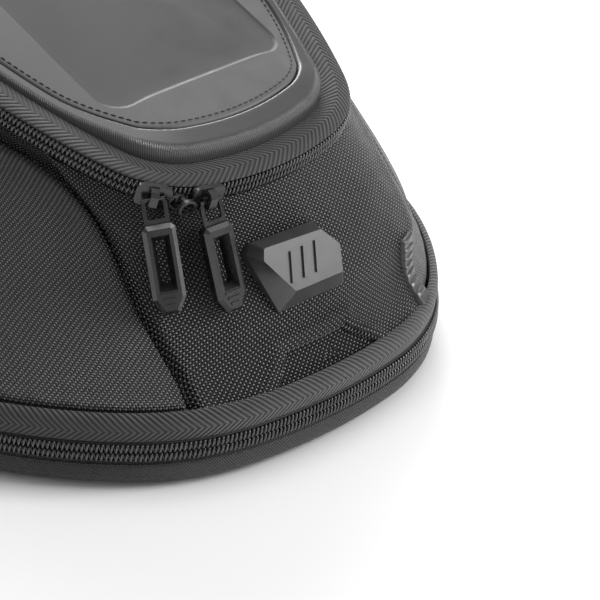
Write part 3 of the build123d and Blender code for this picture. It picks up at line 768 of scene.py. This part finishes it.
def coil_turns(start, end, pitch, side):
    """Distances along a zip and angles round its coil. The loops of its two sides take turns."""
    samples = 12
    turns = np.arange(int((end - start) / pitch * samples)) / samples
    return start + pitch * (turns + (0.5 if side > 0 else 0.0)), 2 * pi * turns


def coil(shape, half, lay, side, middle, start, end, slot):
    """The coil on one side of a zip. Its loops reach a little over the middle of the chain."""
    middle_of_loops, reach, wire = 1.78, 1.5, 0.5
    along, turn = coil_turns(start, end, CHAIN_PITCH, side)
    height = middle + side * (middle_of_loops - reach * np.cos(turn))
    offset = 0.85 + 0.62 * np.sin(turn) * side
    path = lay(run_along(half, along, offset), height)
    shape.tube(path, wire, np.gradient(lay(run_along(half, along), middle), axis=0), 6, slot)


def zip_side(name, half, lay, side, middle, distances, body, node):
    """One side of a zip: its tape and its coil."""
    near, far = middle + side * GAP / 2, middle + side * 4.4
    tape = [(-0.9, near), (-0.15, near), (-0.15, mix(near, far, 0.5)), (-0.1, far), (-0.9, far), (-0.9, near)]
    shape = Shape().swept(half, tape, lay, distances)
    coil(shape, half, lay, side, middle, distances[0], distances[-1], slot=1)
    cord = lay(run_along(half, distances, 0.25), middle + side * 3.75)
    shape.tube(cord, 0.35, (0, 0, 1), 6)
    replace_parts(shape.piece(name, [zip_tape, coil_black], body, filled=True), node)


def zips():
    round_base = whole_way(BASE, 2.4)
    zip_side("expansion_zip_foot", BASE, on_level, -1, ZIP_SPLIT, round_base, "base", "expansion_zip_lower")
    zip_side("expansion_zip_head", BASE, on_level, 1, ZIP_SPLIT, round_base, "upper", "expansion_zip_upper")
    round_lid = part_way(LID, ZIP_END, 2.2)
    zip_side("main_zip_foot", LID, on_lid, -1, 0.0, round_lid, "upper", "main_zip_body_row")
    zip_side("main_zip_head", LID, on_lid, 1, 0.0, round_lid, "lid", "main_zip_lid_row")


def gusset():
    """The folded gusset behind the expansion zip."""
    bends = 17
    heights = np.linspace(GUSSET_FOOT + 0.2, BAND_TOP - 0.7, bends)
    fold = np.where(np.arange(bends) % 4 < 2, -6.4, -8.6)
    outer = eased_line(join(fold, heights), 3)
    profile = np.concatenate([outer, (outer - (0.6, 0))[::-1], outer[:1]])
    shape = Shape().swept(BASE, profile, on_level, whole_way(BASE, 4.0))
    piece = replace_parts(shape.piece("gusset_folds", lining, None), "expansion_gusset")
    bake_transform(piece)


# ---- lid

def lid_profile(distances):
    """Crest height, shoulder and groove of the lid's section, which is flatter at its sides than its nose."""
    side = ease(run_along(LID, distances)[:, 1] / NOSE_LENGTH)[:, None]
    return (mix(CREST_FRONT, CREST_SIDE, side), mix(SHOULDER_FRONT, SHOULDER_SIDE, side),
            mix(GROOVE_FRONT, GROOVE_SIDE, side))


def lid_binding():
    """The herringbone tape between the zip and the moulded top."""
    distances = part_way(LID, TAIL + 0.2, 2.2)
    profile = eased_line([(0.5, 3.9), (0.8, 4.4), (-0.6, 5.0), (-3.2, 5.5), (-6.4, 5.5), (-9.2, 4.9),
                          (-10.9, 4.4), (-10.9, 3.9), (-6.0, 4.1), (-2.0, 3.8)], 4, closed=True)
    shape = Shape().swept(LID, profile, on_lid, distances)
    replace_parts(shape.piece("lid_binding_tape", lid_tape, "lid", filled=True), "lid_binding")


def lid_rings(distances):
    """Rings of (offset, height) from the binding up over the rim and down into the groove."""
    crest, shoulder, groove = lid_profile(distances)
    low, foot, level = 4.6, -11.0, 0 * crest
    riser = np.array([(0.06, 0.3), (0.16, 0.6), (0.34, 0.82), (0.6, 0.95), (0.85, 0.995), (1.0, 1.0)]).T
    slope = np.array([(0.3, 0.15), (0.6, 0.3), (0.85, 0.42), (0.95, 0.4)]).T
    dip = np.array([(0.5, 0.15), (0.1, -0.6), (-0.3, -0.9)]).T
    offsets = [level + foot + (0.3, 0.1), mix(foot, shoulder, riser[0]),
               mix(shoulder, groove + 0.6, slope[0]), groove + dip[0]]
    heights = [level + low + (-0.8, 0.0), mix(low, crest, riser[1]), crest + slope[1], crest + dip[1]]
    return np.concatenate(offsets, axis=1), np.concatenate(heights, axis=1)


def lid_shell():
    """The moulded top's rim: ribbed riser, bright shoulder and the slope in to the groove."""
    distances = whole_way(LID, 2.0)
    offset, height = lid_rings(distances)
    flat = run_along(LID, distances[:, None], offset)
    flat[..., 1] = np.minimum(flat[..., 1], TAIL)
    points = on_lid(flat, height)
    shape = Shape().sheet(points, grid(distances, run_lengths(points[len(points) // 2])))
    piece = shape.piece("lid_rim", shell_cloth, "lid", facing=1, thickness=1.2)
    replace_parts(piece, "lid_shell")


def lid_centre():
    """The smooth centre panel with its stitched edge and a rounded inset of darker cloth."""
    distances = whole_way(LID, 2.0)
    crest, _, groove = lid_profile(distances)
    edge = run_along(LID, distances, groove[:, 0] - 0.5)
    edge[:, 1] = np.minimum(edge[:, 1], TAIL - 4.6)
    middle = np.array([0.0, (INSET_FRONT + INSET_REAR) / 2])
    ray = edge - middle
    low, high = np.zeros(len(ray)), np.ones(len(ray))
    for _ in range(20):
        reach = (low + high) / 2
        inside = inset_distance(middle + ray * reach[:, None]) > 0
        low, high = np.where(inside, reach, low), np.where(inside, high, reach)
    outer_share = np.array([0.0, 0.015, 0.05, 0.1, 0.2, 0.35, 0.5, 0.65, 0.8, 0.9, 0.97, 1.0])
    inner_share = np.array([0.0, 0.006, 0.02, 0.1, 0.25, 0.4, 0.6, 0.8, 1.0])
    outer = mix(1.0, reach[:, None], outer_share)
    inner = mix(reach[:, None], 0.0, inner_share)
    lip = np.array([-1.0, -0.1, 0.15] + [0.2] * 9)
    drop = np.array([0.0, 0.6, 0.7, 0.7, 0.6, 0.5, 0.4, 0.35, 0.3])
    shape = Shape()
    for slot, shares, rise in ((0, outer, lip), (1, inner, 0.2 - drop)):
        flat = middle + ray[:, None] * shares[..., None]
        shape.sheet(on_lid(flat, mix(LID_TOP, crest, shares ** 2) + rise), flat, slot)
    piece = shape.piece("lid_centre", [centre_cloth, inset_cloth], "lid", facing=1)
    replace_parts(piece, "lid_centre_panel")
    seam_share = 0.975
    seam = on_lid(middle + ray * seam_share, mix(LID_TOP, crest[:, 0], seam_share ** 2) + 0.25)
    threads = Shape().stitches(seam, on_lid(np.zeros(2), 1.0) - on_lid(np.zeros(2), 0.0))
    threads.piece("lid_stitches", thread_black, "lid")


def inset_distance(flat):
    """How far inside the edge of the lid's inset a point is."""
    half = (INSET_REAR - INSET_FRONT) / 2
    x = np.abs(flat[..., 0]) - INSET_HALF + INSET_CORNER
    y = np.abs(flat[..., 1] - INSET_FRONT - half) - half + INSET_CORNER
    return INSET_CORNER - np.hypot(np.maximum(x, 0), np.maximum(y, 0)) - np.minimum(np.maximum(x, y), 0)


DISC_STEPS = np.concatenate([[1.0, 0.99, 0.97], np.linspace(0.93, 0.0, 16)])


def disc(boundary, middle_y):
    """Points of a disc-like sheet inside a closed boundary."""
    middle = np.array([0.0, middle_y])
    return middle + (boundary - middle)[:, None] * DISC_STEPS[:, None]


def cut_outline(offset, low=-np.inf, high=np.inf):
    """The lid's outline, moved inwards and cut off at two lines across the lid."""
    flat = run_along(LID, whole_way(LID, 4.0), offset)
    flat[:, 1] = np.clip(flat[:, 1], low, high)
    return flat


def lid_lining():
    flat = disc(cut_outline(-4.2, high=TAIL - 3.0), 120.0)
    depth, size = 0.25, 7.0
    quilt = depth * np.sin(flat[..., 0] / size) * np.sin(flat[..., 1] / size) * (1 - DISC_STEPS ** 8)
    points = on_lid(flat, 3.0 + quilt)
    piece = Shape().sheet(points, flat).piece("lid_lining_cloth", lining, "lid", facing=-1, thickness=-0.6)
    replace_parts(piece, "lid_lining")


def mesh_pocket():
    """The net under the lid, in two parts with the pocket's zip between them."""
    inwards, beside_zip = -18.0, 4.4
    front = disc(cut_outline(inwards, high=POCKET_Y - beside_zip), 40.0)
    back = disc(cut_outline(inwards, low=POCKET_Y + beside_zip), 150.0)
    shape = Shape()
    for flat in (front, back):
        points = on_lid(flat, 0.9 - 0.25 * ripple(flat[..., 0], flat[..., 1], 40.0, 6))
        shape.sheet(points, flat).tube(points[:, 0], 0.7, (0, 0.3, 1.0), 6, slot=1)
    piece = shape.piece("mesh_pocket_net", [net, zip_tape], "lid", facing=-1, weld=False)
    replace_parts(piece, "mesh_pocket")


def pocket_zip():
    """The straight zip of the mesh pocket, seen from below."""
    shape = Shape()
    reach, pitch = 55.0, 1.5
    x = np.linspace(-reach - 1, reach + 1, 3)[:, None]
    across = np.array([-1.9, 1.9, 1.9, -1.9, -1.9])
    height = np.array([0.7, 0.7, 1.4, 1.4, 0.7])
    for side in (-1, 1):
        shape.sheet(on_lid(join(x, POCKET_Y + side * 2.4 + across), height))
        along, turn = coil_turns(-reach, reach, pitch, side)
        y = POCKET_Y + side * (1.2 - 1.35 * np.cos(turn))
        path = on_lid(join(along, y), 0.45 - 0.35 * np.sin(turn) * side)
        shape.tube(path, 0.28, (1, 0, 0), 5, slot=1)
    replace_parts(shape.piece("pocket_zip_chain", [zip_tape, coil_black], "lid", filled=True), "pocket_zip")


SKIRT_START, SKIRT_END = distance_to(LID, ZIP_END), distance_to(LID, TAIL)


def hinge_edge():
    """The cloth along the body's far end, from one end of the zip to the other."""
    foot = [(-0.9, -4.2), (0.9, -4.2), (1.2, -2.2), (1.0, -0.5), (-0.9, -0.5), (-0.9, -4.2)]
    round_tail = np.linspace(SKIRT_START, 2 * half_way_round(LID) - SKIRT_START, 70)
    shape = Shape().swept(LID, foot, on_lid, round_tail)
    shape.piece("hinge_edge", zip_tape, "upper", filled=True)


def zip_end_skirt():
    """The cloth on the lid beyond both ends of the zip."""
    skirt = [(-0.9, 0.5), (0.7, 0.5), (0.9, 2.4), (0.6, 4.0), (-0.9, 4.0), (-0.9, 0.5)]
    shape = Shape()
    for first, last in ((SKIRT_START, SKIRT_END), (-SKIRT_END, -SKIRT_START)):
        shape.swept(LID, skirt, on_lid, np.linspace(first, last, 12))
    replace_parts(shape.piece("zip_end_skirt", zip_tape, "lid", filled=True), "lid_skirt")


def hinge_cloth():
    """The cloth that joins lid and body at the far end."""
    start = SKIRT_END - 1.0
    outer = run_along(LID, np.linspace(start, 2 * half_way_round(LID) - start, 50), 1.0)
    inner = join(outer[:, 0] * 0.97, TAIL - 0.2)
    share = np.linspace(0, 1, 14)
    height = mix(-1.8, 4.6, ease(share * 1.15)) + 1.6 * np.sin(share * pi)
    points = on_lid(mix(outer[:, None], inner[:, None], share[:, None]), height)
    under = points - unit(np.array([0.0, -0.3, 1.0])) * 0.9
    loop = np.concatenate([points, under[:, ::-1], points[:, :1]], axis=1)
    piece = Shape().sheet(loop).piece("hinge_cloth", lid_tape, None, filled=True)
    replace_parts(piece, "hinge_strip")
    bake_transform(piece)


# ---- floor

MIDDLE = np.array([0.0, MIDDLE_Y])


def vault_height(flat, raised):
    """Height of the domed floor."""
    ball = VAULT_RADIUS + raised
    away = flat[..., 0] ** 2 + (flat[..., 1] - MIDDLE_Y) ** 2
    return VAULT_APEX - VAULT_RADIUS + np.sqrt(ball ** 2 - away)


def floor_mat():
    """The foam mat with its quilting, with a hole for the cover."""
    edge_in, quilt_pitch, thick, puff = 10.2, 26.0, 3.4, 1.3
    outer = run_along(BASE, whole_way(BASE, 3.0), -edge_in)
    inner = MIDDLE + unit(outer - MIDDLE) * (COVER_RADIUS + 0.8)
    share = np.concatenate([[0.0, 0.01, 0.03, 0.07], np.linspace(0.12, 0.88, 18), [0.93, 0.97, 0.99, 1.0]])
    flat = mix(outer[:, None], inner[:, None], share[:, None])
    rim = rolled_edge(np.minimum(share, 1 - share), 0.05)
    channel = np.abs(np.sin(flat[..., 1] * pi / quilt_pitch)) ** 0.35
    top = on_level(flat, vault_height(flat, PLATE + 1.2) + (thick + puff * channel) * rim)
    bottom = on_level(flat, vault_height(flat, PLATE + 0.4))
    loop = np.concatenate([top, bottom[:, ::-1], top[:, :1]], axis=1)
    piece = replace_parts(Shape().sheet(loop).piece("floor_mat_quilted", foam, "base"), "floor_mat")


def screw_cover():
    """The round cover over the adapter's screws, stitched round its edge."""
    bearing = np.linspace(0, 2 * pi, 97)
    round_way = join(np.cos(bearing), np.sin(bearing))
    profile = eased_line([(2.0, 1.5), (30.0, 1.35), (55.0, 1.1), (66.0, 0.9), (70.0, 1.0), (71.2, 0.2),
                          (70.6, -1.1), (60.0, -1.3), (2.0, -1.3)], 4)
    shape = Shape().sheet(on_level(MIDDLE + round_way[:, None] * profile[:, :1], COVER_Z + profile[:, 1]))
    seam_radius = 64.0
    ring = on_level(MIDDLE + round_way * seam_radius, COVER_Z + 1.05)
    shape.stitches(ring, np.array([0.0, 0.0, 1.0]), slot=1)
    piece = shape.piece("screw_cover", [foam, thread_black], "base", filled=True)
    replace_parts(piece, "mat_cover")


# ---- straps

def ribbon(path, wide, flat_way, width, thickness):
    """A flat strap along a path, from the directions of its width and of its thickness."""
    half, deep = width / 2, thickness / 2
    flat, edge = half - 0.5, deep * 0.4
    across = np.array([-half, -flat, flat, half, half, flat, -flat, -half, -half])[:, None]
    rise = np.array([-edge, -deep, -deep, -edge, edge, deep, deep, edge, -edge])[:, None]
    wide, flat_way = np.broadcast_to(wide, path.shape), np.broadcast_to(flat_way, path.shape)
    return Shape().sheet(path[:, None] + wide[:, None] * across + flat_way[:, None] * rise)


def handle_webbing():
    """The handle's webbing, its two pins and the stitched box beside each."""
    reach, drop, corner = 44.0, 34.0, 11.0
    origin, along, up, out = wall_frame(share=0.66, place=ARCS / 2 + 0.5, out=5.0)
    turn = np.radians(np.linspace(0, 90, 9))
    bend = join(-reach + corner * (1 - np.cos(turn)), -drop + corner * (1 - np.sin(turn)))
    left = np.concatenate([[(-reach, 1.5), (-reach, -8.0), (-reach, -16.0)], bend])
    local = np.concatenate([left, [(-20.0, -drop), (0.0, -drop), (20.0, -drop)], (left * (-1, 1))[::-1]])
    ahead = unit(np.gradient(local, axis=0))
    path = origin + local[:, :1] * along + local[:, 1:] * up
    wide = ahead[:, 1:] * along - ahead[:, :1] * up
    shape = ribbon(path, wide, out, 10.0, 2.4)
    box = [(-3.6, -4.5), (3.6, -4.5), (3.6, -12), (-3.6, -12), (-3.6, -4.5)]
    for x in (-reach, reach):
        pin = origin + (x + np.linspace(-5, 5, 4))[:, None] * along
        shape.tube(pin, 2.4, up, 14)
        seam = origin + (np.array(box) + (x, 0)) @ np.stack([along, up]) + out * 1.25
        shape.stitches(seam, out, 2.0, 1.4, 0.22, slot=1)
    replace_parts(shape.piece("handle_webbing", [webbing, thread_black], "handle", filled=True), "handle_strap")


def release_webbing():
    """The strap that pulls the lock."""
    share = np.linspace(0, 1, 24)
    y = MIDDLE_Y - mix(STRAP_NEAR, STRAP_FAR, share)
    path = join(0.0, y, mix(LOCK_Z, STRAP_END_Z, share) - 0.5 * np.sin(share * pi))
    sideways = (1.0, 0.0, 0.0)
    shape = ribbon(path, sideways, np.cross(unit(np.gradient(path, axis=0)), sideways), 20.0, 1.6)
    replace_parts(shape.piece("release_webbing", webbing, "lock", filled=True), "release_strap")


def lock_springs():
    """The two springs behind the lock's bolt."""
    turns, radius, near, length, reach = 7, 2.0, 57.9, 11.9, 10.2
    turn = np.linspace(0, 2 * pi * turns, 24 * turns + 1)
    shape = Shape()
    for x in (-reach, reach):
        y = MIDDLE_Y - near - length * turn / turn[-1]
        path = join(x + radius * np.cos(turn), y, LOCK_Z + radius * np.sin(turn))
        shape.tube(path, 0.35, (0, 1, 0), 8)
    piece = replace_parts(shape.piece("lock_spring_wires", steel, "base", filled=True), "lock_springs")
    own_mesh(piece)


# ---- CAD nodes that keep their shape

def both(*names):
    return [f"{name}_{side}" for name in names for side in ("left", "right")]


def finish_cad_nodes():
    """Materials and softened edges for the hard parts."""
    looks = {
        metal: both("slider", "pull_link") + ["expansion_slider", "expansion_pull", "pocket_slider",
                                              "pocket_pull"],
        grip_rubber: both("pull_grip") + ["handle_grip"],
        rubber: both("zip_garage") + ["badge", "cable_port", "anti_slip_pads"],
        plastic: ["base_plate", "base_rim", "ring_adapter", "lock_bolt", "handle_anchors"],
        steel: ["backing_ring", "adapter_screws", "guide_magnets"],
    }
    softened = {
        0.3: both("pull_link") + ["expansion_slider", "expansion_pull"],
        0.35: both("slider"),
        0.4: ["cable_port", "lock_bolt"],
        0.5: both("pull_grip") + ["badge"],
        0.6: ["handle_anchors"],
    }
    for look, names in looks.items():
        for name in names:
            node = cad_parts[name]
            if not node.material_slots:
                node.data.materials.append(look)
            for place in node.material_slots:
                place.material = look
    for width, names in softened.items():
        for name in names:
            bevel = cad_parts[name].modifiers.new("softened edges", "BEVEL")
            bevel.width = width / 1000
            bevel.segments = 2
            bevel.limit_method = "ANGLE"
            bevel.angle_limit = radians(30)
            bevel.harden_normals = True


# ---- studio

def studio():
    """Pale floor, soft light from above and behind, and the camera."""
    span = np.array([-9000.0, 9000.0])
    ground = Shape().sheet(on_level(grid(span, span), -0.05)).piece("studio_floor", floor_look(), None)
    world = bpy.data.worlds.new("studio")
    bpy.context.scene.world = world
    world.use_nodes = True
    sky = world.node_tree.nodes["Background"].inputs
    sky["Color"].default_value = (1.0, 1.0, 1.0, 1.0)
    sky["Strength"].default_value = 0.42
    area_light("back_softbox", (0.7, 1.3, 0.95), (0.0, 0.0, 0.1), (1.4, 0.8), 34.0)
    area_light("top_softbox", (0.15, 0.1, 1.6), (0.0, -0.05, 0.05), (1.1, 1.1), 9.0)
    area_light("right_softbox", (0.95, -1.05, 0.75), (0.0, -0.1, 0.06), (0.6, 0.9), 20.0)
    camera = in_scene("camera", bpy.data.cameras.new("camera"))
    camera.data.sensor_width = 36.0
    camera.data.lens = CAMERA_LENS
    turn = (CAMERA_TARGET - CAMERA_PLACE).to_track_quat("-Z", "Y").to_matrix().to_4x4()
    roll = Matrix.Rotation(radians(CAMERA_ROLL), 4, "Z")
    camera.matrix_world = Matrix.Translation(CAMERA_PLACE) @ turn @ roll
    bpy.context.scene.camera = camera
    bpy.context.scene.view_settings.view_transform = "Standard"


def area_light(name, place, target, size, power):
    light = bpy.data.lights.new(name, "AREA")
    light.shape = "RECTANGLE"
    light.size, light.size_y = size
    light.energy = power
    lamp = in_scene(name, light)
    lamp.location = place
    lamp.rotation_euler = (Vector(target) - Vector(place)).to_track_quat("-Z", "Y").to_euler()


wall_core()
front_wall()
side_label()
side_pads()
rear_pad()
inner_lining()
bands()
zips()
gusset()
lid_binding()
lid_shell()
lid_centre()
lid_lining()
mesh_pocket()
pocket_zip()
hinge_edge()
zip_end_skirt()
hinge_cloth()
floor_mat()
screw_cover()
handle_webbing()
release_webbing()
lock_springs()
finish_cad_nodes()
studio()
